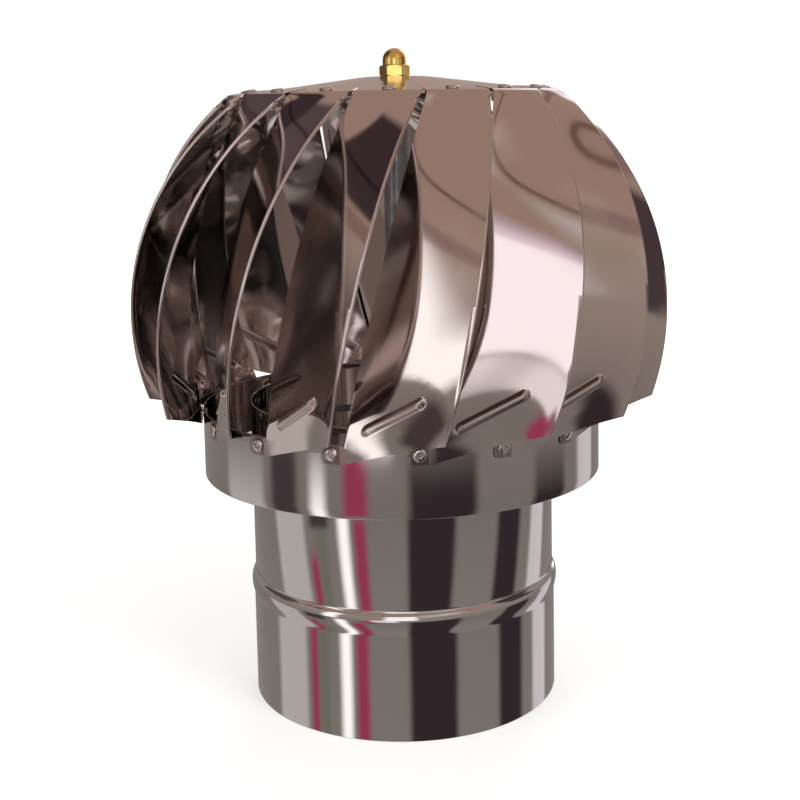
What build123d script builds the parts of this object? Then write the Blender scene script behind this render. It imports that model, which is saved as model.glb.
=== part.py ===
from build123d import *
import os
from math import asin, cos, degrees, radians, sin, sqrt, tan

# Roof turbine ventilator for a round flue: a fixed neck carries a bearing tube on two cross bars,
# and a globe of curved sheet vanes spins on it, hung from a cap that is clamped to the shaft.
# Millimetres, +Z up. The origin is on the axis, at the bottom rim of the neck.

# ---- driving dimensions ----

sheet = 0.6                   # stainless sheet of the neck, skirt, cap and vanes
flue_diameter = 140.0         # outside diameter of the flue pipe that the neck slips over
socket_clearance = 0.4        # radial room between the flue pipe and the socket

socket_height = 47.0          # plain socket below the bead
bead_height = 12.0            # rolled stop bead between the socket and the upper tube
bead_rise = 1.2               # how far the bead stands out from the socket
shoulder_step = 0.8           # how much narrower, in radius, the upper tube is
neck_height = 138.0

skirt_radius = 92.0           # outside of the ring that the vanes are riveted to
skirt_bottom = 105.0
skirt_height = 31.0
hem_height = 4.5              # folded edge at the bottom of the skirt
foot_gap = 0.1                # between the skirt and the vanes' riveted feet

globe_radius = 122.8          # sphere that the vanes' outer edges lie on
globe_height = 181.0          # height of that sphere's centre
vane_count = 16
corner_height = 141.8         # lower outer corner of a vane
foot_height = 128.5           # lower inner corner of a vane, on the skirt
outer_lean = 12.1             # degrees that the outer edge leans from upright
foot_angle = 27.5             # degrees from the outer edge's middle back to the foot
head_angle = 2.6              # the same for the inner edge's top end
inner_edge_radius = 96.0      # inner edge at its widest
inner_edge_height = 172.0     # height of that widest point
inner_bow = 3.75              # sideways bow of the inner edge between its ends
foot_dish = 3.6               # hollow of the vane's section at its lower end
head_crown = 1.2              # crown of the vane's section towards the cap
dish_reach = 0.38             # share of the vane's length over which the hollow fades out
vane_phase = 12.5             # degrees from the front round to the first vane's outer edge
upper_spans = 6               # between a vane's sections above the foot
hem_width = 3.0               # outer edge folded back on itself
rib_width = 4.6               # pressed stiffening rib above the foot
rib_rise = 1.9
rib_taper = 35.0              # degrees, slope of the rib's sides
rib_start = (0.135, 0.36)     # rib's ends: share of the vane's length, share of its width
rib_end = (0.085, 0.80)

fold_radius = 75.5            # where the vanes fold over on to the cap
cap_inset = 0.9               # cap's rim inside the fold
cap_slope = 7.3               # degrees
cap_flat_radius = 13.0        # flat centre of the cap, where it is clamped
tab_length = 13.0             # vane's tab on the cap
tab_taper = 2.6               # how much each side of the tab narrows inwards
tab_gap = 0.05                # between the tab and the cap

rivet_radius = 1.6
rivet_clearance = 0.05
rivet_head_radius = 3.0
rivet_head_height = 1.0
rivet_tail_radius = 2.5
rivet_tail_height = 1.2
rivet_seat = 0.12             # under a rivet's head and tail
tab_rivet_inset = 6.5         # from the fold
foot_rivet_inset = 4.6        # from the foot's end
foot_length = 9.5             # vane's foot along the skirt
foot_width = 7.3
foot_corner = 2.0

shaft_radius = 4.0            # M8 spindle
shaft_fit = 0.02              # radial, shaft in the bearings and sleeves
tail_length = 9.0             # shaft below the lower bearing's washer
thread_entry = 8.0            # shaft inside the dome nut
sleeve_radius = 6.0

bearing_radius = 11.0         # 608 ball bearing, 8 x 22 x 7
bearing_width = 7.0
bearing_seat_fit = 0.02
ball_count = 7
ball_radius = 1.984
ball_pitch_radius = 7.5
race_clearance = 0.05         # between the balls and the race grooves
inner_race_radius = 6.05
outer_race_bore = 8.95
shield_thickness = 0.4
shield_bore = 6.3
shield_seat_radius = 9.4
cage_wall = 0.9
circlip_thickness = 1.0
circlip_depth = 0.6           # groove depth in the housing
circlip_band = 1.9
circlip_gap = 60.0            # degrees open
housing_bottom = 62.0
housing_height = 64.0
housing_radius = 13.5
housing_lip = 1.0             # housing beyond the circlip's groove
housing_waist_radius = 9.2    # bore between the two bearing seats

bar_width = 20.0
bar_thickness = 2.5
bar_tab = 12.0                # bent end of a cross bar, riveted to the neck
lower_bar_height = 108.0
upper_bar_height = 117.0
bar_eye = 6.0                 # metal of a bar round the housing
bar_fit = 0.05                # bars to the neck's wall and to the housing

washer_radius = 6.2           # tail washer, clear of the bearing's shield
washer_thickness = 1.6
clamp_radius = 12.0           # washer under the cap
clamp_thickness = 2.0
nut_flats = 13.0              # M8 nut on the tail
nut_height = 6.5
dome_nut_flats = 12.0         # small-flats M8 brass dome nut
dome_nut_hex_height = 5.0
dome_nut_radius = 5.4
dome_nut_height = 12.7
thread_clearance = 0.03

# ---- worked-out sizes ----

socket_radius = flue_diameter / 2 + socket_clearance + sheet
neck_radius = socket_radius - shoulder_step
neck_bore = neck_radius - sheet
bead_top = socket_height + bead_height

skirt_top = skirt_bottom + skirt_height
foot_radius = skirt_radius + foot_gap

bottom_turn = degrees(asin((corner_height - globe_height) / globe_radius))
top_turn = degrees(-asin(fold_radius / globe_radius)) + 90
fold_height = globe_height + globe_radius * sin(radians(top_turn))
lean_side = tan(radians(outer_lean)) * globe_radius * radians(top_turn)
fold_half_angle = (degrees(asin(lean_side / fold_radius)) + head_angle) / 2
fold_reach = fold_radius * cos(radians(fold_half_angle))

cap_radius = fold_reach - cap_inset
cap_fall = tan(radians(cap_slope))
cap_rim_height = fold_height + cap_inset * cap_fall - (sheet / 2 + tab_gap) / cos(radians(cap_slope))
cap_top = cap_rim_height + (cap_radius - cap_flat_radius) * cap_fall

housing_top = housing_bottom + housing_height
clip_allowance = housing_lip + circlip_thickness + 2 * shaft_fit
lower_bearing_height = housing_bottom + clip_allowance + bearing_width / 2
upper_bearing_height = housing_top - clip_allowance - bearing_width / 2
seat_depth = clip_allowance + bearing_width
tail_washer_top = lower_bearing_height - bearing_width / 2
tail_nut_top = tail_washer_top - washer_thickness
clamp_bottom = cap_top - sheet - clamp_thickness
shaft_bottom = tail_nut_top - tail_length

os.makedirs("parts", exist_ok=True)


def save(builder, name):
    """Label a finished piece and write it as its own STEP file."""
    builder.part.label = name
    export_step(builder.part, f"parts/{name}.step")


# ---- fixed neck ----

# One spun sheet tube: a socket that slips over the flue, a rolled bead that stops the pipe, and a
# slightly narrower tube that reaches up inside the skirt, so that rain can't run in.
with BuildPart() as neck_pipe:
    with BuildSketch(Plane.XZ):
        with BuildLine():
            groove = bead_height * 0.16
            bead_middle = socket_height + (bead_height - groove) / 2
            Line((socket_radius, 0), (socket_radius, socket_height))
            ThreePointArc(
                (socket_radius, socket_height),
                (socket_radius + bead_rise, bead_middle),
                (neck_radius - bead_rise / 3, bead_top - groove),
            )
            Line((neck_radius - bead_rise / 3, bead_top - groove), (neck_radius, bead_top))
            Line((neck_radius, bead_top), (neck_radius, neck_height))
            Line((neck_radius, neck_height), (neck_bore, neck_height))
            Line((neck_bore, neck_height), (neck_bore, bead_top))
            Line((neck_bore, bead_top), (neck_bore - bead_rise / 3, bead_top - groove))
            ThreePointArc(
                (neck_bore - bead_rise / 3, bead_top - groove),
                (socket_radius + bead_rise - sheet, bead_middle),
                (socket_radius - sheet, socket_height),
            )
            Line((socket_radius - sheet, socket_height), (socket_radius - sheet, 0))
            Line((socket_radius - sheet, 0), (socket_radius, 0))
        make_face()
    revolve(axis=Axis.Z)
    # rivet holes for the two cross bars
    for bar_height, bar_turn in ((lower_bar_height, 0), (upper_bar_height, 90)):
        for side in (0, 180):
            hole_plane = Plane(
                origin=(0, 0, bar_height + bar_tab / 2), z_dir=Vector(1, 0, 0).rotate(Axis.Z, bar_turn + side)
            )
            with BuildSketch(hole_plane.offset(neck_bore - sheet)):
                Circle(rivet_radius + rivet_clearance)
            extrude(amount=3 * sheet, mode=Mode.SUBTRACT)
save(neck_pipe, "neck_pipe")


def cross_bar(height, turn):
    """A flat bar across the neck, both ends bent up along the wall, with an eye round the housing."""
    reach = neck_bore - bar_fit
    with BuildPart() as bar:
        bar_plane = Plane(origin=(0, 0, height), x_dir=Vector(1, 0, 0).rotate(Axis.Z, turn), z_dir=(0, 0, 1))
        # the channel shape is cut from a round blank, so that its bent ends follow the wall
        with BuildSketch(bar_plane):
            Circle(reach)
            Rectangle(2 * reach, bar_width, mode=Mode.INTERSECT)
        extrude(amount=bar_thickness + bar_tab)
        with BuildSketch(bar_plane.offset(bar_thickness)):
            Circle(reach - bar_thickness)
        extrude(amount=bar_tab, mode=Mode.SUBTRACT)
        with BuildSketch(bar_plane):
            Circle(housing_radius + bar_eye)
        extrude(amount=bar_thickness)
        with BuildSketch(bar_plane):
            Circle(housing_radius + bar_fit)
        extrude(amount=bar_thickness, mode=Mode.SUBTRACT)
        for side in (0, 180):
            hole_plane = Plane(
                origin=(0, 0, height + bar_tab / 2), z_dir=Vector(1, 0, 0).rotate(Axis.Z, turn + side)
            )
            with BuildSketch(hole_plane.offset(reach - 2 * bar_thickness)):
                Circle(rivet_radius + rivet_clearance)
            extrude(amount=3 * bar_thickness, mode=Mode.SUBTRACT)
    return bar


save(cross_bar(lower_bar_height, 0), "lower_cross_bar")
save(cross_bar(upper_bar_height, 90), "upper_cross_bar")


def rivet(seat_plane, grip):
    """A blind rivet: its head sits on the plane's front, its tail behind a stack grip thick."""
    with BuildPart() as blind_rivet:
        with BuildSketch(seat_plane.offset(-grip - rivet_seat)):
            Circle(rivet_radius)
        extrude(amount=grip + 2 * rivet_seat)
        with BuildSketch(seat_plane.offset(rivet_seat)):
            Circle(rivet_head_radius)
        extrude(amount=rivet_head_height, taper=38)
        with BuildSketch(seat_plane.offset(-grip - rivet_seat)):
            Circle(rivet_tail_radius)
        extrude(amount=-rivet_tail_height, taper=20)
    return blind_rivet.part


with BuildPart() as bar_rivets:
    for bar_height, bar_turn in ((lower_bar_height, 0), (upper_bar_height, 90)):
        for side in (0, 180):
            outward = Vector(1, 0, 0).rotate(Axis.Z, bar_turn + side)
            middle = outward * neck_radius + Vector(0, 0, bar_height + bar_tab / 2)
            add(rivet(Plane(origin=middle, z_dir=outward), sheet + bar_fit + bar_thickness))
save(bar_rivets, "bar_rivets")

# Turned tube welded into the two cross bars, counterbored at both ends for the ball bearings.
with BuildPart() as bearing_housing:
    with BuildSketch(Plane.XY.offset(housing_bottom)):
        Circle(housing_radius)
        Circle(housing_waist_radius, mode=Mode.SUBTRACT)
    extrude(amount=housing_height)
    seat_bore = bearing_radius + bearing_seat_fit
    groove_width = circlip_thickness + 2 * shaft_fit
    for end, inward in ((housing_bottom, 1), (housing_top, -1)):
        with BuildSketch(Plane.XY.offset(end)):
            Circle(seat_bore)
        extrude(amount=inward * seat_depth, mode=Mode.SUBTRACT)
        with BuildSketch(Plane.XY.offset(end + inward * housing_lip)):
            Circle(seat_bore + circlip_depth)
        extrude(amount=inward * groove_width, mode=Mode.SUBTRACT)
    chamfer(bearing_housing.edges().filter_by(GeomType.CIRCLE).group_by(SortBy.RADIUS)[-1], 0.6)
save(bearing_housing, "bearing_housing")


def circlip(height, turn):
    """An internal retaining ring, open on one side, that holds a bearing in its seat."""
    outside = bearing_radius + circlip_depth - shaft_fit
    with BuildPart() as clip:
        with BuildSketch(Plane.XY.offset(height - circlip_thickness / 2)):
            Circle(outside)
            Circle(outside - circlip_band, mode=Mode.SUBTRACT)
            with BuildLine():
                opening = PolarLine((0, 0), 2 * outside, turn - circlip_gap / 2)
                far_side = PolarLine((0, 0), 2 * outside, turn + circlip_gap / 2)
                Line(opening @ 1, far_side @ 1)
            make_face(mode=Mode.SUBTRACT)
        extrude(amount=circlip_thickness)
    return clip


clip_offset = bearing_width / 2 + circlip_thickness / 2 + shaft_fit
save(circlip(lower_bearing_height - clip_offset, 30), "lower_circlip")
save(circlip(upper_bearing_height + clip_offset, 200), "upper_circlip")

# ---- ball bearings ----


def race(height, bore, outside, shield_rebates):
    """A bearing ring with its ball groove turned in the side that faces the balls."""
    with BuildPart() as ring:
        with BuildSketch(Plane.XZ.offset(0)):
            with Locations(((bore + outside) / 2, height)):
                Rectangle(outside - bore, bearing_width)
            with Locations((ball_pitch_radius, height)):
                Circle(ball_radius + race_clearance, mode=Mode.SUBTRACT)
            if shield_rebates:
                for end in (-1, 1):
                    with Locations((shield_seat_radius / 2, height + end * bearing_width / 2)):
                        Rectangle(shield_seat_radius, 2 * shield_thickness + 4 * shaft_fit, mode=Mode.SUBTRACT)
        revolve(axis=Axis.Z)
    return ring


def ball_set(height):
    """The balls of one bearing, spaced evenly round its pitch circle."""
    with BuildPart() as balls:
        with Locations(Plane.XY.offset(height)):
            with PolarLocations(ball_pitch_radius, ball_count):
                Sphere(ball_radius)
    return balls


def ball_cage(height):
    """A moulded crown that keeps the balls apart: a ring with one pocket for each ball."""
    with BuildPart() as cage:
        with BuildSketch(Plane.XY.offset(height)):
            Circle(ball_pitch_radius + cage_wall)
            Circle(ball_pitch_radius - cage_wall, mode=Mode.SUBTRACT)
        extrude(amount=bearing_width / 2 - 3 * shield_thickness)
        with BuildSketch(Plane.XY.offset(height - bearing_width)):
            with PolarLocations(ball_pitch_radius, ball_count):
                Circle(ball_radius + race_clearance)
        extrude(amount=2 * bearing_width, mode=Mode.SUBTRACT)
        with BuildSketch(Plane.XY.offset(height + ball_radius + race_clearance)):
            Circle(ball_pitch_radius + cage_wall)
            Circle(ball_pitch_radius - cage_wall, mode=Mode.SUBTRACT)
        extrude(amount=shield_thickness)
    return cage


for end_name, bearing_height in (("lower", lower_bearing_height), ("upper", upper_bearing_height)):
    save(race(bearing_height, outer_race_bore, bearing_radius, True), f"{end_name}_outer_race")
    save(race(bearing_height, shaft_radius + shaft_fit, inner_race_radius, False), f"{end_name}_inner_race")
    save(ball_set(bearing_height), f"{end_name}_balls")
    save(ball_cage(bearing_height), f"{end_name}_ball_cage")

with BuildPart() as bearing_shields:
    for bearing_height in (lower_bearing_height, upper_bearing_height):
        for end in (-1, 1):
            face_height = bearing_height + end * (bearing_width / 2 - shaft_fit)
            with BuildSketch(Plane.XY.offset(face_height)):
                Circle(shield_seat_radius - shaft_fit)
                Circle(shield_bore, mode=Mode.SUBTRACT)
            extrude(amount=-end * shield_thickness)
save(bearing_shields, "bearing_shields")

# ---- shaft and its stack ----

# The spindle turns with the globe. Nut, washer, inner races, spacers, clamp washer and cap are one
# stack on it, drawn together between the tail nut and the dome nut.
with BuildPart() as shaft:
    with BuildSketch(Plane.XY.offset(shaft_bottom)):
        Circle(shaft_radius)
    extrude(amount=cap_top + thread_entry - shaft_bottom)
    chamfer(shaft.edges().filter_by(GeomType.CIRCLE), 0.6)
save(shaft, "shaft")


def sleeve(bottom, top, outside):
    """A plain tube or washer on the shaft."""
    with BuildPart() as tube:
        with BuildSketch(Plane.XY.offset(bottom)):
            Circle(outside)
            Circle(shaft_radius + shaft_fit, mode=Mode.SUBTRACT)
        extrude(amount=top - bottom)
    return tube


race_half = bearing_width / 2
save(sleeve(lower_bearing_height + race_half, upper_bearing_height - race_half, sleeve_radius), "race_spacer")
save(sleeve(upper_bearing_height + race_half, clamp_bottom, sleeve_radius), "shaft_sleeve")
save(sleeve(tail_nut_top, tail_washer_top, washer_radius), "tail_washer")
save(sleeve(clamp_bottom, clamp_bottom + clamp_thickness, clamp_radius), "clamp_washer")

def turned_hexagon(bottom, flats, height):
    """A hexagon bar's length, its corners turned down at both faces, as on a nut."""
    corner = flats / sqrt(3)
    turn_down = corner - flats / 2
    with BuildPart() as hexagon:
        with BuildSketch(Plane.XY.offset(bottom)):
            RegularPolygon(flats / 2, 6, major_radius=False)
        extrude(amount=height)
        with BuildSketch(Plane.XZ):
            with BuildLine():
                Polyline(
                    (0, bottom),
                    (flats / 2, bottom),
                    (corner, bottom + turn_down * 0.6),
                    (corner, bottom + height - turn_down * 0.6),
                    (flats / 2, bottom + height),
                    (0, bottom + height),
                    close=True,
                )
            make_face()
        revolve(axis=Axis.Z, mode=Mode.INTERSECT)
    return hexagon.part


with BuildPart() as tail_nut:
    add(turned_hexagon(tail_nut_top - nut_height, nut_flats, nut_height))
    with BuildSketch(Plane.XY.offset(tail_nut_top)):
        Circle(shaft_radius + thread_clearance)
    extrude(amount=-nut_height, mode=Mode.SUBTRACT)
save(tail_nut, "tail_nut")

# Brass dome nut: a short hexagon under a closed, round-nosed cap.
with BuildPart() as dome_nut:
    add(turned_hexagon(cap_top, dome_nut_flats, dome_nut_hex_height))
    hexagon_top = cap_top + dome_nut_hex_height
    dome_middle = cap_top + dome_nut_height - dome_nut_radius
    with BuildSketch(Plane.XY.offset(hexagon_top)):
        Circle(dome_nut_radius)
    extrude(amount=dome_middle - hexagon_top)
    with Locations((0, 0, dome_middle)):
        Sphere(dome_nut_radius, arc_size1=0, align=(Align.CENTER, Align.CENTER, Align.MIN))
    with BuildSketch(Plane.XY.offset(cap_top)):
        Circle(shaft_radius + thread_clearance)
    extrude(amount=thread_entry + thread_clearance, mode=Mode.SUBTRACT)
save(dome_nut, "dome_nut")

# ---- turning globe ----

# A vane stands at the front, facing -Y, and is turned about the axis to its place. Its outer edge
# lies on the globe's sphere and its inner edge on a flatter arc; both lean the same way.
foot_side = -foot_radius * sin(radians(foot_angle))
head_side = -fold_radius * sin(radians(head_angle))
with BuildLine() as inner_edge_profile:
    foot_line = Line(
        (foot_radius + sheet / 2, foot_height),
        (foot_radius + sheet / 2, foot_height + foot_width),
    )
    ThreePointArc(foot_line @ 1, (inner_edge_radius, inner_edge_height), (fold_radius, fold_height))
inner_edge_wire = inner_edge_profile.wire()
foot_share = foot_width / inner_edge_wire.length


def outer_edge(share):
    """Point on a vane's outer edge, from its lower corner (0) to the fold on the cap (1)."""
    turn = radians(bottom_turn + share * (top_turn - bottom_turn))
    radius = globe_radius * cos(turn)
    side = tan(radians(outer_lean)) * globe_radius * turn
    return Vector(side, -sqrt(radius**2 - side**2), globe_height + globe_radius * sin(turn))


def inner_edge(share):
    """Point on a vane's inner edge: upright along the foot, then bowed over to the fold on the cap."""
    profile = inner_edge_wire @ share
    above_foot = max(0, share - foot_share) / (1 - foot_share)
    bow = 4 * inner_bow * above_foot * (1 - above_foot)
    side = foot_side + above_foot * (head_side - foot_side) - bow
    return Vector(side, -sqrt(profile.X**2 - side**2), profile.Y)


def vane_plane(share):
    """Plane of a vane's section: X runs from the outer edge inwards, Y out of its front face."""
    step = 0.01
    low, high = max(share - step, 0), min(share + step, 1)
    rise = (outer_edge(high) + inner_edge(high)) / 2 - (outer_edge(low) + inner_edge(low)) / 2
    across = (inner_edge(share) - outer_edge(share)).normalized()
    return Plane(origin=outer_edge(share), x_dir=across, z_dir=rise - across * rise.dot(across))


def section_point(share, run, lift):
    """Point of a section, run from its outer edge and lifted from the middle of the sheet."""
    across = 2 * run / (inner_edge(share) - outer_edge(share)).length - 1
    crown = head_crown * sin(radians(180 * share**2))
    hollow = foot_dish * max(0, 1 - share / dish_reach) ** 2
    return Vector(run, (crown - hollow) * (1 - across**2) + lift)


def on_vane(share, across):
    """Point in the middle of a vane's sheet, by its shares of the length and of the width."""
    width = (inner_edge(share) - outer_edge(share)).length
    return vane_plane(share).from_local_coords(section_point(share, across * width, 0))


# The vane's foot is a band bent along the skirt, and its tab is the head folded over on to the cap.
fold_line = outer_edge(1) - inner_edge(1)
tab_plane = Plane(
    origin=(outer_edge(1) + inner_edge(1)) / 2,
    x_dir=fold_line,
    z_dir=Vector(0, 0, 1).rotate(Axis((0, 0, 0), fold_line), cap_slope),
)
tab_rivet_middle = tab_plane.from_local_coords(Vector(0, tab_rivet_inset, sheet / 2))
tab_rivet_plane = Plane(origin=tab_rivet_middle, z_dir=tab_plane.z_dir)
foot_turn = degrees(foot_length / foot_radius)
foot_rivet_turn = foot_angle + foot_turn - degrees(foot_rivet_inset / foot_radius)
foot_out = Vector(0, -1, 0).rotate(Axis.Z, -foot_rivet_turn)
foot_rivet_plane = Plane(
    origin=foot_out * (foot_radius + sheet) + Vector(0, 0, foot_height + foot_width / 2), z_dir=foot_out
)

with BuildPart() as vane:
    with BuildSketch(Plane.XY.offset(foot_height)):
        # the band runs one sheet's thickness into the curved sheet, to be one piece with it
        root_turn = degrees(sheet / foot_radius)
        with BuildLine():
            CenterArc((0, 0), foot_radius + sheet / 2, -90 - foot_angle + root_turn, -foot_turn - root_turn)
        trace(line_width=sheet)
    extrude(amount=foot_width)
    end_edges = vane.edges().filter_by(lambda edge: edge.length < 2 * sheet).sort_by(Axis.X)[:2]
    fillet(end_edges, foot_corner)

    # curved sheet, its outer edge folded back on the inner side as a hem
    upper_shares = [foot_share + step * (1 - foot_share) / upper_spans for step in range(upper_spans + 1)]
    for share in [0, foot_share / 2] + upper_shares:
        width = (inner_edge(share) - outer_edge(share)).length
        half = sheet / 2
        with BuildSketch(vane_plane(share)):
            with BuildLine():
                front = Spline(*(section_point(share, run, half) for run in (0, width / 2, width)))
                back_runs = (hem_width, (hem_width + width) / 2, width)
                back = Spline(*(section_point(share, run, -half) for run in back_runs))
                Line(front @ 1, back @ 1)
                hem_fold = section_point(share, 0, -half - sheet)
                hem_end = section_point(share, hem_width, -half - sheet)
                Polyline(back @ 0, hem_end, hem_fold, front @ 0)
            make_face()
    loft()

    # tab on the cap
    with BuildSketch(tab_plane.offset(-sheet / 2)):
        head_width = fold_line.length
        with BuildLine():
            Polyline(
                (-head_width / 2, -sheet / 4),
                (head_width / 2, -sheet / 4),
                (head_width / 2 - tab_taper, tab_length),
                (-head_width / 2 + tab_taper, tab_length),
                close=True,
            )
        make_face()
    extrude(amount=sheet)

    # stiffening rib, pressed outwards, hollow behind
    rib_line = on_vane(*rib_end) - on_vane(*rib_start)
    rib_out = vane_plane((rib_start[0] + rib_end[0]) / 2).y_dir
    rib_plane = Plane(
        origin=(on_vane(*rib_start) + on_vane(*rib_end)) / 2,
        x_dir=rib_line,
        z_dir=rib_out - rib_line * (rib_out.dot(rib_line) / rib_line.length**2),
    )
    with BuildSketch(rib_plane.offset(-sheet / 2)):
        SlotOverall(rib_line.length, rib_width)
    extrude(amount=sheet / 2 + rib_rise, taper=rib_taper)
    with BuildSketch(rib_plane.offset(-sheet / 2)):
        SlotOverall(rib_line.length - 2 * sheet, rib_width - 2 * sheet)
    extrude(amount=rib_rise - sheet / 2, taper=rib_taper, mode=Mode.SUBTRACT)
    with BuildSketch(rib_plane.offset(-sheet / 2)):
        SlotOverall(rib_line.length - 2 * sheet, rib_width - 2 * sheet)
    extrude(amount=-2 * sheet, mode=Mode.SUBTRACT)

    for rivet_plane in (tab_rivet_plane, foot_rivet_plane):
        with BuildSketch(rivet_plane.offset(-2 * sheet)):
            Circle(rivet_radius + rivet_clearance)
        extrude(amount=3 * sheet, mode=Mode.SUBTRACT)

vane_turns = [vane_phase + number * 360 / vane_count for number in range(vane_count)]
for number, turn in enumerate(vane_turns, start=1):
    with BuildPart() as placed_vane:
        add(vane.part, rotation=(0, 0, turn))
    save(placed_vane, f"vane_{number:02d}")


def turned(plane, turn):
    """A vane's plane, turned about the axis to where one of the vanes stands."""
    return Plane(Location((0, 0, 0), (0, 0, turn)) * plane.location)


# Shallow cone under the vanes' tabs, its flat centre clamped on the shaft.
with BuildPart() as cap:
    slope_in = sheet * sin(radians(cap_slope))
    slope_down = sheet * cos(radians(cap_slope))
    with BuildSketch(Plane.XZ):
        with BuildLine():
            Polyline(
                (shaft_radius + rivet_clearance, cap_top),
                (cap_flat_radius, cap_top),
                (cap_radius, cap_rim_height),
                (cap_radius - slope_in, cap_rim_height - slope_down),
                (cap_flat_radius - slope_in / 2, cap_top - sheet),
                (shaft_radius + rivet_clearance, cap_top - sheet),
                close=True,
            )
        make_face()
    revolve(axis=Axis.Z)
    for turn in vane_turns:
        with BuildSketch(turned(tab_rivet_plane, turn).offset(-5 * sheet)):
            Circle(rivet_radius + rivet_clearance)
        extrude(amount=6 * sheet, mode=Mode.SUBTRACT)
save(cap, "cap")

# Ring that the vanes' feet are riveted to, its bottom edge folded back inside.
with BuildPart() as skirt_ring:
    with BuildSketch(Plane.XZ):
        with BuildLine():
            Polyline(
                (skirt_radius, skirt_bottom),
                (skirt_radius, skirt_top),
                (skirt_radius - sheet, skirt_top),
                (skirt_radius - sheet, skirt_bottom + hem_height),
                (skirt_radius - 2 * sheet, skirt_bottom + hem_height),
                (skirt_radius - 2 * sheet, skirt_bottom),
                close=True,
            )
        make_face()
    revolve(axis=Axis.Z)
    for turn in vane_turns:
        with BuildSketch(turned(foot_rivet_plane, turn).offset(-5 * sheet)):
            Circle(rivet_radius + rivet_clearance)
        extrude(amount=6 * sheet, mode=Mode.SUBTRACT)
save(skirt_ring, "skirt_ring")

for rivet_plane, gap, name in (
    (tab_rivet_plane, tab_gap, "tab_rivets"),
    (foot_rivet_plane, foot_gap, "foot_rivets"),
):
    with BuildPart() as ring_rivets:
        for turn in vane_turns:
            add(rivet(rivet_plane, 2 * sheet + gap), rotation=(0, 0, turn))
    save(ring_rivets, name)
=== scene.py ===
from math import asin, atan2, cos, degrees, pi, radians, sin, sqrt, tan

import bmesh
import bpy
from mathutils import Matrix, Vector


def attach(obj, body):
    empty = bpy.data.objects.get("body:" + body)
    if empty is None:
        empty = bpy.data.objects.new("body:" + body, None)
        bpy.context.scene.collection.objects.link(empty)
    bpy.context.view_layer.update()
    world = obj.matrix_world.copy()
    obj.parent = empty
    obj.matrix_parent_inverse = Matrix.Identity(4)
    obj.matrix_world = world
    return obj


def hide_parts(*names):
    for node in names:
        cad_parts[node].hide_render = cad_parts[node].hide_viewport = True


# Roof turbine ventilator: a fixed spun neck, a riveted globe of sixteen scooped vanes that turns on a
# shaft through its cap, and a brass dome nut on top. Metres, +Z up, -Y to the front.

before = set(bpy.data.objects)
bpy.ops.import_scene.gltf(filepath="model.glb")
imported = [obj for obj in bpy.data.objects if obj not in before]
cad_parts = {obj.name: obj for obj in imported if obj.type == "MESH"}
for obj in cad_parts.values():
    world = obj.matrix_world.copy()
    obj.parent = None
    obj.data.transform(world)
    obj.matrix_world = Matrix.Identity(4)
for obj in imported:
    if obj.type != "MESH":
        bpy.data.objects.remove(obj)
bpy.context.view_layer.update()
mm = 0.001


# ---- studio ----

# A pale floor and an even white surround. Mirror-bright sheet shows only what stands round it, so a
# light tent that reflections alone can see gives it the bands of a workshop: flags, windows, wall.
def hex_colour(code):
    """An sRGB hex value as a linear colour."""
    channels = [int(code[place:place + 2], 16) / 255 for place in (1, 3, 5)]
    return [c / 12.92 if c <= 0.04045 else ((c + 0.055) / 1.055) ** 2.4 for c in channels] + [1.0]


def add_node(tree, kind, settings=None, **links):
    """Adds a node; settings go on the node or its sockets by name, links feed its sockets."""
    node = tree.nodes.new(kind)
    for name, value in (settings or {}).items():
        if name in node.inputs:
            node.inputs[name].default_value = value
        else:
            setattr(node, name, value)
    for name, source in links.items():
        socket = int(name[1:]) if name[1:].isdigit() else name.replace("_", " ")
        target = node.inputs[socket]
        tree.links.new(source, target)
    return node


def new_material(name):
    """An empty node material and its tree."""
    material = bpy.data.materials.new(name)
    material.use_nodes = True
    material.node_tree.nodes.clear()
    return material, material.node_tree


world = bpy.data.worlds.new("studio_surround")
bpy.context.scene.world = world
world.use_nodes = True
world.node_tree.nodes.clear()
world_level = 0.55
path = add_node(world.node_tree, "ShaderNodeLightPath")
seen = add_node(world.node_tree, "ShaderNodeMath", {"operation": "MAXIMUM"},
                _0=path.outputs["Is Camera Ray"], _1=path.outputs["Is Glossy Ray"])
seen = add_node(world.node_tree, "ShaderNodeMath", {"operation": "MAXIMUM"},
                _0=seen.outputs[0], _1=path.outputs["Is Transmission Ray"])
strength = add_node(world.node_tree, "ShaderNodeMapRange", {"To Min": world_level, "To Max": 1.0},
                    Value=seen.outputs[0])
surround = add_node(world.node_tree, "ShaderNodeBackground", {"Color": (1, 1, 1, 1)},
                    Strength=strength.outputs[0])
add_node(world.node_tree, "ShaderNodeOutputWorld", Surface=surround.outputs[0])

# floor: a matt white sheet, wide enough to fill every view. What the camera sees of it is lifted to
# white away from the cowl, and less under it, so that the cowl's shadow stays
floor_width = 12.0
shadow_reach = 0.3
white_reach = 1.2
shadow_lift = 0.36
floor_colour = hex_colour("#F4F3F1")
floor_material, tree = new_material("matt_white_paper")
paper = add_node(tree, "ShaderNodeBsdfPrincipled", {"Base Color": floor_colour, "Roughness": 0.9})
place = add_node(tree, "ShaderNodeTexCoord")
reach = add_node(tree, "ShaderNodeVectorMath", {"operation": "LENGTH"}, _0=place.outputs["Object"])
fade = add_node(tree, "ShaderNodeMapRange", {"From Min": shadow_reach, "From Max": white_reach,
                                             "To Min": shadow_lift, "To Max": 1.0},
                Value=reach.outputs["Value"])
bright = add_node(tree, "ShaderNodeEmission", {"Color": (1, 1, 1, 1)}, Strength=fade.outputs[0])
floor_path = add_node(tree, "ShaderNodeLightPath")
dark = add_node(tree, "ShaderNodeEmission", {"Color": (0, 0, 0, 1)})
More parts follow.
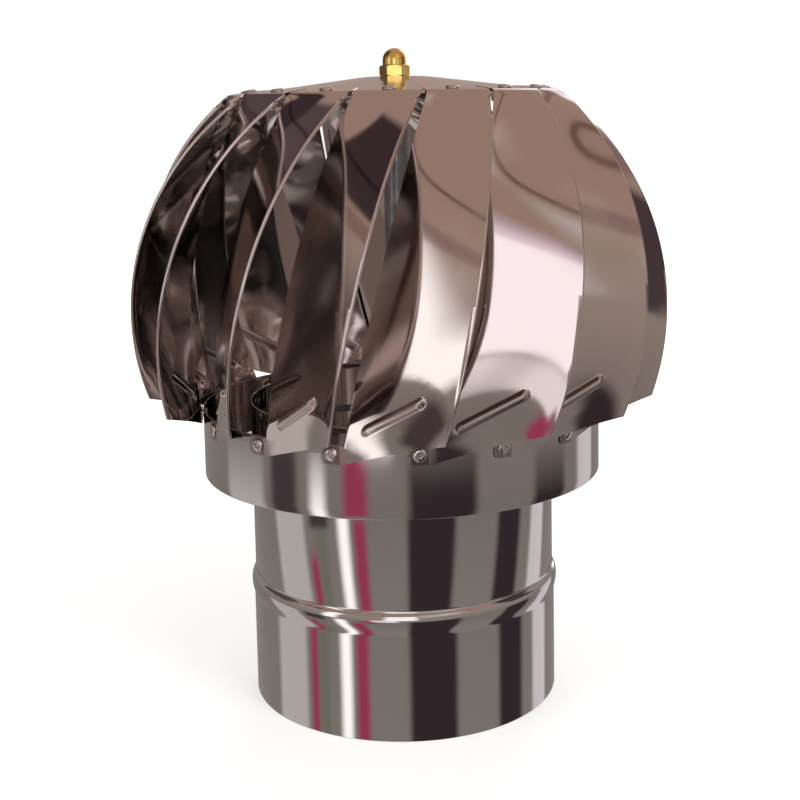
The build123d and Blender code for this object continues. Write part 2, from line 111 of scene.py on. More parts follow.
lift = add_node(tree, "ShaderNodeMixShader", Fac=floor_path.outputs["Is Camera Ray"],
                _1=dark.outputs[0], _2=bright.outputs[0])
both = add_node(tree, "ShaderNodeAddShader", _0=paper.outputs[0], _1=lift.outputs[0])
add_node(tree, "ShaderNodeOutputMaterial", Surface=both.outputs[0])
bm = bmesh.new()
bmesh.ops.create_grid(bm, x_segments=1, y_segments=1, size=floor_width / 2)
mesh = bpy.data.meshes.new("studio_floor")
bm.to_mesh(mesh)
bm.free()
floor = bpy.data.objects.new("studio_floor", mesh)
mesh.materials.append(floor_material)
bpy.context.scene.collection.objects.link(floor)
floor.visible_glossy = False

# light tent, seen by reflections only: a grey wall, warmer above, hung with soft-edged boards. It
# goes on below the floor, which is hidden from reflections, as if the cowl stood on a narrow stand
tent_radius = 0.52
tent_height = 1.25
wall_height = 0.62
pit_depth = 0.9
tent_glow = 1.7
tent_material, tree = new_material("light_tent_with_boards")
place = add_node(tree, "ShaderNodeTexCoord")
axes = add_node(tree, "ShaderNodeSeparateXYZ", Vector=place.outputs["Object"])
front = add_node(tree, "ShaderNodeMath", {"operation": "MULTIPLY"}, _0=axes.outputs["Y"])
front.inputs[1].default_value = -1.0
azimuth = add_node(tree, "ShaderNodeMath", {"operation": "ARCTAN2"},
                   _0=axes.outputs["X"], _1=front.outputs[0])
turn_share = add_node(tree, "ShaderNodeMapRange", {"From Min": -pi, "From Max": pi},
                      Value=azimuth.outputs[0])
height_share = add_node(tree, "ShaderNodeMapRange",
                        {"From Min": -pit_depth, "From Max": tent_height}, Value=axes.outputs["Z"])


def banded(tree, source, bands):
    """A ramp that runs from colour to colour: (place 0 to 1, hex colour) for each stop."""
    ramp = add_node(tree, "ShaderNodeValToRGB", Fac=source)
    stops = ramp.color_ramp.elements
    while len(stops) > 1:
        stops.remove(stops[-1])
    stops[0].position = bands[0][0]
    stops[0].color = hex_colour(bands[0][1])
    for start, code in bands[1:]:
        stop = stops.new(start)
        stop.color = hex_colour(code)
    return ramp


def turn_place(turn):
    """Place round the tent, 0 to 1, of a direction in degrees from the front towards +X."""
    return (turn + 180) / 360


def height_place(height):
    """Place up the tent, 0 to 1, of a height in metres."""
    return (height + pit_depth) / (pit_depth + tent_height)


wall = banded(tree, height_share.outputs[0], [
    (0.0, "#807A76"), (height_place(-0.05), "#6E6865"), (height_place(0.3), "#8A7F79"),
    (height_place(0.5), "#8C776D"),
])
white, black = "#FFFFFF", "#000000"
turn_soft = 0.006
height_soft = 0.012
# each board: its tone, its sides in degrees from the front towards +X, its foot and head in metres
for board, tone, left, right, foot, head in (
    ("silver_sheet", "#A6A19F", -108, -78, -0.9, 0.0),
    ("crimson_cloth", "#8A3450", -74, -67, -0.9, -0.2),
    ("olive_cloth", "#66665A", -67, -58, -0.9, -0.05),
    ("low_left_window", "#FAF8F9", -48, -40, -0.9, 0.0),
    ("second_crimson_cloth", "#8A3450", -36, -27, -0.9, -0.1),
    ("crimson_cushion", "#8A3450", -30, -18, -0.1, 0.04),
    ("black_flag", "#2F252A", 3, 38, -0.9, 0.02),
    ("right_black_flag", "#2F252A", 73, 96, -0.9, 0.0),
    ("right_silver_sheet", "#B8B3B6", 110, 130, -0.9, 0.05),
    ("low_front_window", "#D8D2D6", -22, -5, 0.0, 0.14),
    ("left_dusk_flag", "#4A3F42", -155, -92, 0.18, 0.9),
    ("high_left_flag", "#33282C", -112, -74, 0.5, 1.1),
    ("low_left_flag", "#3E3438", -72, -56, -0.15, 0.04),
    ("upper_left_window", "#FAF8F9", -57, -47, 0.05, 0.45),
    ("front_window", "#F4EEF6", -14, 8, 0.12, 0.48),
    ("front_silver_sheet", "#A6A19F", 10, 40, 0.25, 0.62),
    ("right_dusk_flag", "#3E3438", 78, 104, 0.15, 0.5),
    ("back_window", "#FAF8F9", 142, 162, 0.0, 0.75),
):
    start, end = turn_place(left), turn_place(right)
    across = banded(tree, turn_share.outputs[0], [
        (0.0, black), (start - turn_soft, black), (start + turn_soft, white),
        (end - turn_soft, white), (end + turn_soft, black),
    ])
    start, end = height_place(foot), height_place(head)
    below = white if foot <= -pit_depth else black
    upright = banded(tree, height_share.outputs[0], [
        (0.0, below), (start + height_soft / 2, below), (start + height_soft, white),
        (end - height_soft, white), (end + height_soft, black),
    ])
    there = add_node(tree, "ShaderNodeMath", {"operation": "MULTIPLY"},
                     _0=across.outputs[0], _1=upright.outputs[0])
    wall = add_node(tree, "ShaderNodeMixRGB", {"Color2": hex_colour(tone)}, Fac=there.outputs[0],
                    Color1=wall.outputs[0])
    wall.label = board

# two bars run all round the tent: a broad faint one and a narrow darker one above it
bar_stops = [(0.0, white)]
for tone, foot, head, soft in (("#D8CCD4", 0.44, 0.495, 0.005), ("#A89A98", 0.6535, 0.6735, 0.0035)):
    bar_stops += [(height_place(foot - soft), white), (height_place(foot + soft), tone),
                  (height_place(head - soft), tone), (height_place(head + soft), white)]
bars = banded(tree, height_share.outputs[0], bar_stops)
shaded = add_node(tree, "ShaderNodeMixRGB", {"blend_type": "MULTIPLY", "Fac": 1.0},
                  Color1=wall.outputs[0], Color2=bars.outputs[0])
glow = add_node(tree, "ShaderNodeEmission", {"Strength": tent_glow}, Color=shaded.outputs[0])
add_node(tree, "ShaderNodeOutputMaterial", Surface=glow.outputs[0])
bm = bmesh.new()
roof_steps = 8
outline = [(0.0, -pit_depth), (tent_radius, -pit_depth), (tent_radius, wall_height)]
for step in range(1, roof_steps + 1):
    turn = step / roof_steps * pi / 2
    outline.append((tent_radius * cos(turn), wall_height + (tent_height - wall_height) * sin(turn)))
spine = [bm.verts.new((radius, 0, height)) for radius, height in outline]
spine_edges = [bm.edges.new(pair) for pair in zip(spine, spine[1:])]
bmesh.ops.spin(bm, geom=spine + spine_edges, axis=(0, 0, 1), cent=(0, 0, 0), angle=2 * pi, steps=96,
               use_merge=True)
mesh = bpy.data.meshes.new("light_tent")
bm.to_mesh(mesh)
bm.free()
tent = bpy.data.objects.new("light_tent", mesh)
mesh.materials.append(tent_material)
bpy.context.scene.collection.objects.link(tent)
tent.visible_camera = False
tent.visible_diffuse = False
tent.visible_transmission = False
tent.visible_shadow = False

# lamps: a key from the upper right, a broad fill from the left and one from behind
lamp_aim = Vector((0, 0, 0.15))
for name, spot, size, power in (
    ("key_lamp", (0.9, -1.1, 1.3), 0.7, 9.0),
    ("fill_lamp", (-1.3, -0.8, 0.9), 1.0, 6.0),
    ("back_lamp", (0.2, 1.4, 1.2), 1.0, 6.0),
):
    lamp = bpy.data.lights.new(name, "AREA")
    lamp.size = size
    lamp.energy = power
    lamp_object = bpy.data.objects.new(name, lamp)
    lamp_object.location = spot
    lamp_object.rotation_euler = (lamp_aim - Vector(spot)).to_track_quat("-Z", "Y").to_euler()
    bpy.context.scene.collection.objects.link(lamp_object)

# camera: above the cap's level, looking a little down at the neck, turned slightly on its axis
camera_distance = 0.625
camera_height = 0.2717
camera_pitch = 7.3
camera_yaw = -0.06
camera_roll = -1.1
camera = bpy.data.cameras.new("camera")
camera.lens = 61.0
camera.sensor_width = 36.0
camera.shift_y = -0.15
camera_object = bpy.data.objects.new("camera", camera)
camera_object.rotation_mode = "QUATERNION"
camera_object.location = (0, -camera_distance, camera_height)
camera_object.rotation_quaternion = (
    Matrix.Rotation(radians(camera_yaw), 4, "Z")
    @ Matrix.Rotation(radians(90 - camera_pitch), 4, "X")
    @ Matrix.Rotation(radians(camera_roll), 4, "Z")
).to_quaternion()
bpy.context.scene.collection.objects.link(camera_object)
bpy.context.scene.camera = camera_object
bpy.context.scene.view_settings.view_transform = "Standard"


# ---- neck ----

# The fixed neck is spun from 0.6 mm AISI 304 sheet and polished: a socket over the flue, a rolled
# bead that stops the pipe, and an upper tube inside the skirt. Both rims are cut and dressed round.
def polished_sheet(name, colour, roughness, wave_size, wave_depth, streak_size, streak_depth):
    """Buffed stainless sheet: mirror-like, faintly uneven from forming, with buffing haze."""
    # real buffing lines are far finer than streak_size, which is as coarse as they need to show
    streak_stretch = 0.12
    haze_size = 18 * mm
    haze_spread = 1.9
    material, tree = new_material(name)
    place = add_node(tree, "ShaderNodeTexCoord").outputs["Object"]
    waves = add_node(tree, "ShaderNodeTexNoise", {"Scale": 1 / wave_size, "Detail": 1.0}, Vector=place)
    squeeze = add_node(tree, "ShaderNodeMapping", {"Scale": (1.0, 1.0, streak_stretch)}, Vector=place)
    streaks = add_node(tree, "ShaderNodeTexNoise", {"Scale": 1 / streak_size, "Detail": 3.0},
                       Vector=squeeze.outputs[0])
    haze = add_node(tree, "ShaderNodeTexNoise", {"Scale": 1 / haze_size, "Detail": 4.0}, Vector=place)
    hazed = add_node(tree, "ShaderNodeMapRange",
                     {"From Min": 0.35, "From Max": 0.75, "To Min": roughness,
                      "To Max": roughness * haze_spread}, Value=haze.outputs[0])
    uneven = add_node(tree, "ShaderNodeBump", {"Strength": 1.0, "Distance": wave_depth},
                      Height=waves.outputs[0])
    buffed = add_node(tree, "ShaderNodeBump", {"Strength": 1.0, "Distance": streak_depth},
                      Height=streaks.outputs[0], Normal=uneven.outputs[0])
    metal = add_node(tree, "ShaderNodeBsdfPrincipled",
                     {"Base Color": hex_colour(colour), "Metallic": 1.0},
                     Roughness=hazed.outputs[0], Normal=buffed.outputs[0])
    add_node(tree, "ShaderNodeOutputMaterial", Surface=metal.outputs[0])
    return material


def spun_mesh(profile, steps):
    """A bmesh of a closed profile of (radius, height) spun about the turning axis."""
    bm = bmesh.new()
    ring = [bm.verts.new((radius, 0, height)) for radius, height in profile]
    edges = [bm.edges.new(pair) for pair in zip(ring, ring[1:])]
    if profile[0][0] > 0 or profile[-1][0] > 0:
        edges.append(bm.edges.new((ring[-1], ring[0])))
    bmesh.ops.spin(bm, geom=ring + edges, axis=(0, 0, 1), cent=(0, 0, 0), angle=2 * pi, steps=steps,
                   use_merge=True)
    weld = 0.001 * mm
    bmesh.ops.remove_doubles(bm, verts=bm.verts, dist=weld)
    bmesh.ops.recalc_face_normals(bm, faces=bm.faces)
    return bm


def finished(name, bm, material, body, slot, *nodes, crease=38):
    """Makes a piece of a bmesh, smooth but for its creases, that stands for CAD nodes."""
    for face in bm.faces:
        face.smooth = True
    for edge in bm.edges:
        edge.smooth = len(edge.link_faces) != 2 or edge.calc_face_angle(0) < radians(crease)
    mesh = bpy.data.meshes.new(name)
    bm.to_mesh(mesh)
    bm.free()
    mesh.materials.append(material)
    piece = bpy.data.objects.new(name, mesh)
    bpy.context.scene.collection.objects.link(piece)
    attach(piece, body)
    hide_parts(*nodes)


def arc_points(centre, radius, start, end, count):
    """Points (radius, height) on an arc, its angles in degrees from outward, turning upwards."""
    turns = [radians(start + (end - start) * step / (count - 1)) for step in range(count)]
    return [(centre[0] + radius * cos(turn), centre[1] + radius * sin(turn)) for turn in turns]


sheet = 0.6 * mm
socket_radius = 71.0 * mm
neck_radius = 70.2 * mm
socket_height = 47.0 * mm
bead_top = 59.0 * mm
neck_height = 138.0 * mm
rim = sheet / 2

# the bead, from bottom to top: a full round, then the step in to the upper tube, then a groove
bead_rise = 1.2 * mm
bead_fullness = 1.2
bead_lean = 0.25
step_in_from = 0.6
groove_depth = 0.75 * mm
groove_from = 0.78
bead_steps = 20
bead_outside = []
bead_inside = []
for step in range(bead_steps + 1):
    along = step / bead_steps
    swell = bead_rise * sin(pi * along) ** bead_fullness * (1 - bead_lean * along)
    groove = groove_depth * max(0.0, sin(pi * max(0.0, along - groove_from) / (1 - groove_from)))
    step_in = (socket_radius - neck_radius) * max(0.0, (along - step_in_from) / (1 - step_in_from))
    radius = socket_radius - step_in + swell - groove
    height = socket_height + (bead_top - socket_height) * along
    bead_outside.append((radius, height))
    bead_inside.append((radius - sheet, height))
neck_turns = 192
neck_profile = arc_points((socket_radius - rim, rim), rim, -90, 0, 5)
neck_profile += bead_outside
neck_profile += arc_points((neck_radius - rim, neck_height - rim), rim, 0, 180, 9)
neck_profile += bead_inside[::-1]
neck_profile += arc_points((socket_radius - rim, rim), rim, 180, 270, 5)[:-1]
neck_steel = polished_sheet("spun_stainless_buffed", "#CDCAC8", roughness=0.045, wave_size=42 * mm,
                            wave_depth=0.10 * mm, streak_size=6 * mm, streak_depth=0.004 * mm)
finished("spun_neck", spun_mesh(neck_profile, neck_turns), neck_steel, "base", "neck_stainless",
         "neck_pipe")


# ---- skirt ----

# The skirt is a rolled ring of the same sheet that carries the vanes' feet. Its bottom edge is
# folded back inside as a round hem, and its top edge is hidden under the vanes.
skirt_radius = 92.0 * mm
skirt_bottom = 105.0 * mm
skirt_top = 136.0 * mm
hem_height = 4.5 * mm
hem_round = 0.6 * mm
hem_end_ease = 0.1 * mm
hem_end_gap = 0.05 * mm
wall_steps = 8
wall_rise = skirt_top - rim - skirt_bottom
skirt_profile = arc_points((skirt_radius - hem_round, skirt_bottom + hem_round), hem_round, -180, 0, 11)
skirt_profile += [(skirt_radius, skirt_bottom + step * wall_rise / wall_steps)
                  for step in range(1, wall_steps)]
skirt_profile += arc_points((skirt_radius - rim, skirt_top - rim), rim, 0, 180, 7)
skirt_profile += [
    (skirt_radius - sheet, skirt_bottom + hem_height + hem_end_ease),
    (skirt_radius - sheet - hem_end_gap, skirt_bottom + hem_height),
    (skirt_radius - 2 * sheet, skirt_bottom + hem_height - hem_end_ease),
]
skirt_turns = 192
skirt_steel = polished_sheet("rolled_stainless_buffed", "#CAC6C3", roughness=0.05, wave_size=36 * mm,
                             wave_depth=0.12 * mm, streak_size=5 * mm, streak_depth=0.004 * mm)
finished("hemmed_skirt", spun_mesh(skirt_profile, skirt_turns), skirt_steel, "rotor",
         "mirror_stainless", "skirt_ring")


# ---- vanes ----

# Sixteen vanes are pressed from 0.6 mm mirror sheet. Each scoops from the globe's outside in to its
# inner edge, with a folded hem outside, a foot bent along the skirt, and a tab riveted to the cap.
vane_count = 16
vane_phase = 12.5
globe_radius = 122.8 * mm
globe_height = 181.0 * mm
corner_height = 141.8 * mm
foot_height = 128.5 * mm
foot_radius = 92.1 * mm
foot_angle = 27.5
head_angle = 2.6
outer_lean = 12.1
inner_edge_radius = 96.0 * mm
inner_edge_height = 172.0 * mm
inner_bow = 3.75 * mm
foot_dish = 3.6 * mm
head_crown = 1.2 * mm
dish_reach = 0.38
foot_width = 7.3 * mm
foot_length = 9.5 * mm
foot_corner = 2.0 * mm
fold_radius = 75.5 * mm
cap_slope = 7.3
tab_length = 13.0 * mm
tab_taper = 2.6 * mm
hem_width = 3.0 * mm
hem_skin = 0.62 * mm
rib_start = (0.135, 0.36)
rib_end = (0.085, 0.80)
rib_half_width = 2.9 * mm
rib_rise = 2.3 * mm
rib_fullness = 0.8
vane_length = 158 * mm
bend_run = 1.1 * mm
bend_share = bend_run / vane_length
hem_end = 0.972

bottom_turn = asin((corner_height - globe_height) / globe_radius)
top_turn = pi / 2 - asin(fold_radius / globe_radius)
fold_height = globe_height + globe_radius * sin(top_turn)
foot_side = -foot_radius * sin(radians(foot_angle))
head_side = -fold_radius * sin(radians(head_angle))

# the inner edge rises straight along the foot, then on an arc through its widest point to the fold
arc_foot = Vector((foot_radius + sheet / 2, foot_height + foot_width))
arc_widest = Vector((inner_edge_radius, inner_edge_height))
arc_head = Vector((fold_radius, fold_height))


def circle_centre(first, second, third):
    """Centre of the circle through three points of a plane."""
    a, b = second - first, third - first
    scale = 2 * (a.x * b.y - a.y * b.x)
    a_square, b_square = a.length_squared, b.length_squared
    offset = Vector((b.y * a_square - a.y * b_square, a.x * b_square - b.x * a_square)) / scale
    return first + offset


inner_centre = circle_centre(arc_foot, arc_widest, arc_head)
inner_radius = (arc_foot - inner_centre).length
start_turn = atan2(arc_foot.y - inner_centre.y, arc_foot.x - inner_centre.x)
end_turn = atan2(arc_head.y - inner_centre.y, arc_head.x - inner_centre.x)
arc_length = inner_radius * (end_turn - start_turn)
foot_share = foot_width / (foot_width + arc_length)


def outer_edge(share):
    """Point on a vane's outer edge, from its lower corner (0) to the fold on the cap (1)."""
    turn = bottom_turn + share * (top_turn - bottom_turn)
    radius = globe_radius * cos(turn)
    side = tan(radians(outer_lean)) * globe_radius * turn
    return Vector((side, -sqrt(radius**2 - side**2), globe_height + globe_radius * sin(turn)))


def inner_edge(share):
    """Point on a vane's inner edge, from its foot on the skirt (0) to the fold on the cap (1)."""
    above_foot = max(0.0, share - foot_share) / (1 - foot_share)
    if share < foot_share:
        radius, height = foot_radius + sheet / 2, foot_height + foot_width * share / foot_share
    else:
        turn = start_turn + above_foot * (end_turn - start_turn)
        radius = inner_centre.x + inner_radius * cos(turn)
        height = inner_centre.y + inner_radius * sin(turn)
    side = foot_side + above_foot * (head_side - foot_side)
    side -= 4 * inner_bow * above_foot * (1 - above_foot)
    return Vector((side, -sqrt(radius**2 - side**2), height))


def section_frame(share):
    """A section's start on the outer edge, its direction inwards, its front normal and its width."""
    step = 0.01
    low, high = max(share - step, 0), min(share + step, 1)
    rise = (outer_edge(high) + inner_edge(high) - outer_edge(low) - inner_edge(low)) / 2
    span = inner_edge(share) - outer_edge(share)
    across = span.normalized()
    upward = (rise - across * rise.dot(across)).normalized()
    return outer_edge(share), across, upward.cross(across), span.length


def camber(share, run, width):
    """Height of the section above its straight width: hollow at the foot, crowned near the head."""
    bow = 1 - (2 * run / width - 1) ** 2
    dish = foot_dish * max(0.0, 1 - share / dish_reach) ** 2
    return (head_crown * sin(pi * share**2) - dish) * bow


rib_from = Vector((rib_start[0] * vane_length, rib_start[1] * section_frame(rib_start[0])[3]))
rib_to = Vector((rib_end[0] * vane_length, rib_end[1] * section_frame(rib_end[0])[3]))


def rib_lift(share, run):
    """Height of the pressed rib at a place on the sheet."""
    here = Vector((share * vane_length, run))
    line = rib_to - rib_from
    along = max(0.0, min(1.0, (here - rib_from).dot(line) / line.length_squared))
    off = (here - (rib_from + line * along)).length / rib_half_width
    return rib_rise * (0.5 + 0.5 * cos(pi * off)) ** rib_fullness if off < 1 else 0.0


def stations(stretches):
    """Places from 0 to 1, stretch by stretch: (end, how many steps)."""
    places = [0.0]
    for end, count in stretches:
        start = places[-1]
        places += [start + (end - start) * step / count for step in range(1, count + 1)]
    return places


fold_out, fold_in = outer_edge(1), inner_edge(1)
fold_line = (fold_out - fold_in).normalized()
up = Vector((0, 0, 1))
tab_inward = up.cross(fold_line)
tab_inward = tab_inward * cos(radians(cap_slope)) + up * sin(radians(cap_slope))
tab_up = fold_line.cross(tab_inward)


def front_skin(share, run_share, hem=None):
    """Point of the front skin of the vane's curved part. hem is how far round the folded outer
    edge it lies: 0 to 1 on the round fold, 1 to 2 on the flat behind it."""
    start, across, out, width = section_frame(share)
    if hem is not None:
        turn = pi / 2 + pi * min(hem, 1.0)
        run = hem_skin + hem_skin * cos(turn)
        lift = rim - hem_skin + hem_skin * sin(turn)
        if hem > 1:
            run = hem_skin + (hem - 1) * (hem_width - hem_skin)
        return start + across * run + out * (lift + camber(share, run, width))
    edge = hem_skin if share < hem_end else 0.0
    run = edge + run_share * (width - edge)
    return start + across * run + out * (rim + camber(share, run, width) + rib_lift(share, run))


def tab_skin(back, run_share):
    """Point of the tab's top skin, back from the fold, run_share from its outer side."""
    half = (fold_out - fold_in).length / 2 - tab_taper * back / tab_length
    middle = (fold_out + fold_in) / 2
    return middle + fold_line * (half * (1 - 2 * run_share)) + tab_inward * back + tab_up * rim


# the grid is finest where the rib is pressed: runs go across the vane and shares up it
runs = stations([(0.28, 9), (0.87, 62), (1.0, 5)])
shares = stations([(0.06, 6), (0.17, 46), (hem_end, 52), (1 - bend_share, 2)])
bends = stations([(1.0, 6)])[1:]
backs = [bend_run + (tab_length - bend_run) * part for part in stations([(1.0, 6)])[1:]]


def bent(first, corner, last, part):
    """Point part of the way round a smooth bend from first to last, drawn towards the corner."""
    return first * (1 - part) ** 2 + corner * (2 * part * (1 - part)) + last * part**2


def sheet_point(row, column):
    """Point of the grid that makes the sheet, its bend and its tab."""
    run_share = runs[column]
    if row < len(shares):
        return front_skin(shares[row], run_share)
    row -= len(shares)
    if row < len(bends):
        low = front_skin(1 - bend_share, run_share)
        high = tab_skin(bend_run, run_share)
        corner = fold_out + (fold_in - fold_out) * run_share + tab_up * rim
        return bent(low, corner, high, bends[row])
    return tab_skin(backs[row - len(bends)], run_share)


def add_skin(bm, columns, rows, point):
    """Adds a grid of faces laid on a surface and gives it the sheet's thickness behind."""
    grid = bmesh.ops.create_grid(bm, x_segments=columns - 1, y_segments=rows - 1, size=0.5)
    verts = grid["verts"]
    for vert in verts:
        column = round((vert.co.x + 0.5) * (columns - 1))
        row = round((vert.co.y + 0.5) * (rows - 1))
        vert.co = point(row, column)
    faces = list({face for vert in verts for face in vert.link_faces})
    bmesh.ops.solidify(bm, geom=faces, thickness=sheet)


def vane_bmesh():
    """One vane at the front: sheet with its tab, folded hem, and foot bent along the skirt."""
    bm = bmesh.new()
    add_skin(bm, len(runs), len(shares) + len(bends) + len(backs), sheet_point)
    hem_turns = [2.0, 1.5] + stations([(1.0, 7)])[::-1]
    hem_shares = [share for share in shares[::2] if share < hem_end] + [hem_end]
    add_skin(bm, len(hem_turns), len(hem_shares),
             lambda row, column: front_skin(hem_shares[row], 0, hem_turns[column]))

    # the foot: a bend that leads in over the vane's last millimetres, then the length on the skirt
    lead = 1.5 * mm
    foot_rows = 9
    foot_runs = [2 * lead * part for part in stations([(1.0, 6)])]
    foot_runs += [2 * lead + (foot_length - lead) * part for part in stations([(1.0, 14)])[1:]]
    skin = foot_radius + sheet

    def on_skirt(turn, height):
        return Vector((-skin * sin(turn), -skin * cos(turn), height))

    def foot_point(row, column):
        run = foot_runs[column]
        into_corner = run - foot_runs[-1] + foot_corner
        half = foot_width / 2
        if into_corner > 0:
            half += sqrt(max(0.0, foot_corner**2 - into_corner**2)) - foot_corner
        height = foot_height + foot_width / 2 + (2 * row / (foot_rows - 1) - 1) * half
        corner_turn = radians(foot_angle)
        if run >= 2 * lead:
            return on_skirt(corner_turn + (run - lead) / skin, height)
        share = (height - foot_height) / foot_width * foot_share
        start, across, out, width = section_frame(share)
        first = start + across * (width - lead) + out * (rim + camber(share, width - lead, width))
        first.z = height
        last = on_skirt(corner_turn + lead / skin, height)
        return bent(first, on_skirt(corner_turn, height), last, run / (2 * lead))

    add_skin(bm, len(foot_runs), foot_rows, foot_point)
    return bm


vane_steel = polished_sheet("pressed_stainless_mirror", "#D0C6C1", roughness=0.06, wave_size=55 * mm,
                            wave_depth=0.16 * mm, streak_size=7 * mm, streak_depth=0.006 * mm)
rib_crease = 72
vane_master = vane_bmesh()
for number in range(vane_count):
    turned = vane_master.copy()
    turned.transform(Matrix.Rotation(radians(vane_phase + number * 360 / vane_count), 4, "Z"))
    name = f"vane_{number + 1:02d}"
    finished(f"pressed_{name}", turned, vane_steel, "rotor", "mirror_stainless", name,
             crease=rib_crease)
vane_master.free()


# ---- cap ----

# A shallow cone spun from the same sheet, flat in the middle where it is clamped on the shaft. Its
# slope lies under the vanes' tabs, which are riveted through it.
fold_reach = ((fold_out + fold_in) / 2).xy.length
cap_inset = 0.9 * mm
cap_radius = fold_reach - cap_inset
cap_fall = tan(radians(cap_slope))
tab_gap = 0.05 * mm
cap_rim_height = fold_height + cap_inset * cap_fall - (rim + tab_gap) / cos(radians(cap_slope))
cap_flat_radius = 13.0 * mm
cap_top = cap_rim_height + (cap_radius - cap_flat_radius) * cap_fall
shaft_hole = 4.05 * mm
ease = 5.0 * mm
cap_upper = [(shaft_hole, cap_top)]
for part in stations([(1.0, 10)])[:-1]:
    cap_upper.append((cap_flat_radius - ease + 2 * ease * part, cap_top - ease * cap_fall * part**2))
for part in stations([(1.0, 12)]):
    past_flat = ease + (cap_radius - cap_flat_radius - ease) * part
    cap_upper.append((cap_flat_radius + past_flat, cap_top - past_flat * cap_fall))
cap_profile = cap_upper + [(radius, height - sheet) for radius, height in cap_upper[::-1]]
cap_turns = 144
cap_steel = polished_sheet("spun_cap_stainless", "#CCC2BD", roughness=0.08, wave_size=30 * mm,
                           wave_depth=0.05 * mm, streak_size=5 * mm, streak_depth=0.004 * mm)
finished("spun_cap", spun_mesh(cap_profile, cap_turns), cap_steel, "rotor", "mirror_stainless", "cap")


# ---- rivets ----

# Blind rivets of stainless wire and tube: a low dome head with the mandrel's broken end in its
# middle, and a swollen tail behind. Sixteen hold the vanes to the cap and sixteen to the skirt.
rivet_steel = polished_sheet("rivet_stainless_bright", "#D2CBC7", roughness=0.13, wave_size=8 * mm,
                             wave_depth=0.02 * mm, streak_size=2 * mm, streak_depth=0.004 * mm)
rivet_radius = 1.6 * mm
head_radius = 3.0 * mm
head_height = 1.0 * mm
head_edge = 0.1 * mm
rivet_seat = 0.12 * mm
rivet_turns = 28
mandrel_radius = 0.75 * mm
socket_floor = 0.3 * mm
socket_lip = 1.25 * mm
tail_radius = 2.5 * mm
tail_length = 1.44 * mm


def rivet_bmesh(grip):
    """A rivet on +Z: its head's seat at zero, the stack of sheets grip thick below."""
    # the mandrel's end in its socket, with the socket's lip
    profile = [(0.0, socket_floor + 0.25 * mm), (mandrel_radius, socket_floor + 0.2 * mm)]
    profile += [(mandrel_radius + 0.05 * mm, socket_floor), (mandrel_radius + 0.2 * mm, socket_floor)]
    profile += [(socket_lip - 0.25 * mm, head_height - 0.05 * mm), (socket_lip, head_height)]
    # the dome, its edge and the shank
    for part in stations([(1.0, 6)])[1:]:
        turn = part * pi / 2
        profile.append((socket_lip + (head_radius - socket_lip) * sin(turn),
                        head_edge + (head_height - head_edge) * cos(turn)))
    back = -grip - 2 * rivet_seat
    profile += [(head_radius - head_edge, 0.0), (rivet_radius, 0.0), (rivet_radius, back)]
    # the swollen tail
    profile += [(tail_radius - 0.1 * mm, back - 0.1 * mm), (tail_radius, -grip - 0.7 * mm)]
    profile += [(tail_radius - 0.5 * mm, -grip - 1.15 * mm), (1.0 * mm, -grip - 1.4 * mm)]
    profile += [(0.0, -grip - tail_length)]
    return spun_mesh([(radius, height + rivet_seat) for radius, height in profile], rivet_turns)


def rivet_ring(name, node, seat, outward, grip):
    """Rivets at a vane's place, repeated for every vane, as one piece."""
    ring = bmesh.new()
    facing = outward.to_track_quat("Z", "X").to_matrix().to_4x4()
    one = rivet_bmesh(grip)
    one.transform(Matrix.Translation(seat) @ facing)
    mesh = bpy.data.meshes.new("rivet_pattern")
    one.to_mesh(mesh)
    one.free()
    for number in range(vane_count):
        copy = mesh.copy()
        copy.transform(Matrix.Rotation(radians(vane_phase + number * 360 / vane_count), 4, "Z"))
        ring.from_mesh(copy)
        bpy.data.meshes.remove(copy)
    bpy.data.meshes.remove(mesh)
    finished(name, ring, rivet_steel, "rotor", "rivet_stainless", node)


tab_rivet_inset = 6.5 * mm
foot_rivet_inset = 4.6 * mm
foot_gap = 0.1 * mm
tab_seat = (fold_out + fold_in) / 2 + tab_inward * tab_rivet_inset + tab_up * rim
rivet_ring("tab_rivet_ring", "tab_rivets", tab_seat, tab_up, 2 * sheet + tab_gap)
foot_turn = radians(foot_angle) + (foot_length - foot_rivet_inset) / foot_radius
foot_outward = Vector((-sin(foot_turn), -cos(foot_turn), 0))
foot_seat = foot_outward * (foot_radius + sheet) + Vector((0, 0, foot_height + foot_width / 2))
rivet_ring("foot_rivet_ring", "foot_rivets", foot_seat, foot_outward, 2 * sheet + foot_gap)


# ---- dome nut ----

# A small M8 dome nut turned from brass hexagon bar and polished: chamfered hexagon, short neck,
# round nose. Turning leaves fine rings, drawn wider than the real ones so that they show.
nut_flats = 12.0 * mm
hexagon_height = 5.0 * mm
dome_radius = 5.4 * mm
nut_height = 12.7 * mm
flat_radius = nut_flats / 2
corner_radius = nut_flats / sqrt(3)
corner_width = corner_radius - flat_radius
turn_down = corner_width * 0.6
fillet = 0.25 * mm
hexagon_top = cap_top + hexagon_height
dome_middle = cap_top + nut_height - dome_radius
chamfer_parts = stations([(1.0, 6)])
nut_profile = [(0.0, cap_top), (flat_radius - 0.1 * mm, cap_top)]
nut_profile += [(flat_radius + corner_width * part, cap_top + turn_down * part)
                for part in chamfer_parts]
nut_profile += [(corner_radius - corner_width * part, hexagon_top - turn_down * (1 - part))
                for part in chamfer_parts]
nut_profile += [(dome_radius + fillet, hexagon_top)]
nut_profile += arc_points((dome_radius + fillet, hexagon_top + fillet), fillet, 270, 180, 4)
nut_profile += arc_points((0, dome_middle), dome_radius, 0, 90, 14)
nut_turns = 144
nut_bm = spun_mesh(nut_profile, nut_turns)

